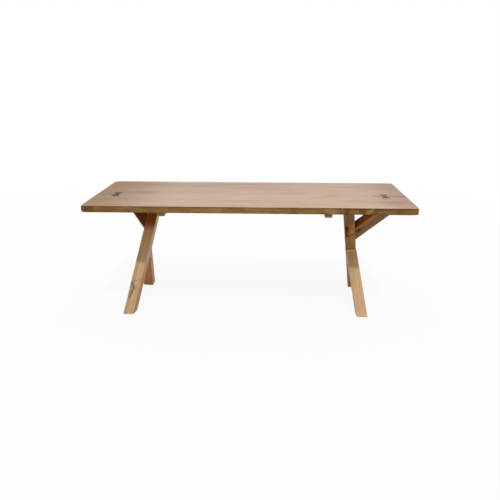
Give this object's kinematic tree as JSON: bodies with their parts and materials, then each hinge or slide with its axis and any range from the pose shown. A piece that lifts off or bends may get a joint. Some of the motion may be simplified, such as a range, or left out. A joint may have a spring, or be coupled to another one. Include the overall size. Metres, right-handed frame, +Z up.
{
  "type": "sawbuck table",
  "caption": "Long wooden dining table with a thick two-board top, butterfly keys over end cracks and leaning crossed trestle legs with outward arms.",
  "frame": {"origin": "on the floor, under the middle of the top", "axes": "+X along the table, +Y across it away from the viewer of the picture, +Z up"},
  "size_m": [2.1, 0.9, 0.765],
  "materials": {
    "oak_top": "oiled satin",
    "oak_frame": "oiled satin",
    "key_iron": "blackened",
    "dowel_wood": "bare",
    "plate_steel": "black powder coat",
    "screw_steel": "zinc plated"
  },
  "bodies": {
    "root": {"top_board_front": "oak_top", "top_board_back": "oak_top", "butterfly_key_left": "key_iron", "butterfly_key_right": "key_iron", "board_dowels": "dowel_wood", "batten_left": "oak_frame", "batten_left_screws": "screw_steel", "main_leg_left": "oak_frame", "strut_leg_left": "oak_frame", "outer_arm_left": "oak_frame", "strut_dowels_left": "dowel_wood", "arm_dowels_left": "dowel_wood", "mounting_plate_left": "plate_steel", "slab_screws_left": "screw_steel", "leg_screws_left": "screw_steel", "batten_right": "oak_frame", "batten_right_screws": "screw_steel", "main_leg_right": "oak_frame", "strut_leg_right": "oak_frame", "outer_arm_right": "oak_frame", "strut_dowels_right": "dowel_wood", "arm_dowels_right": "dowel_wood", "mounting_plate_right": "plate_steel", "slab_screws_right": "screw_steel", "leg_screws_right": "screw_steel"}
  },
  "joints": []
}
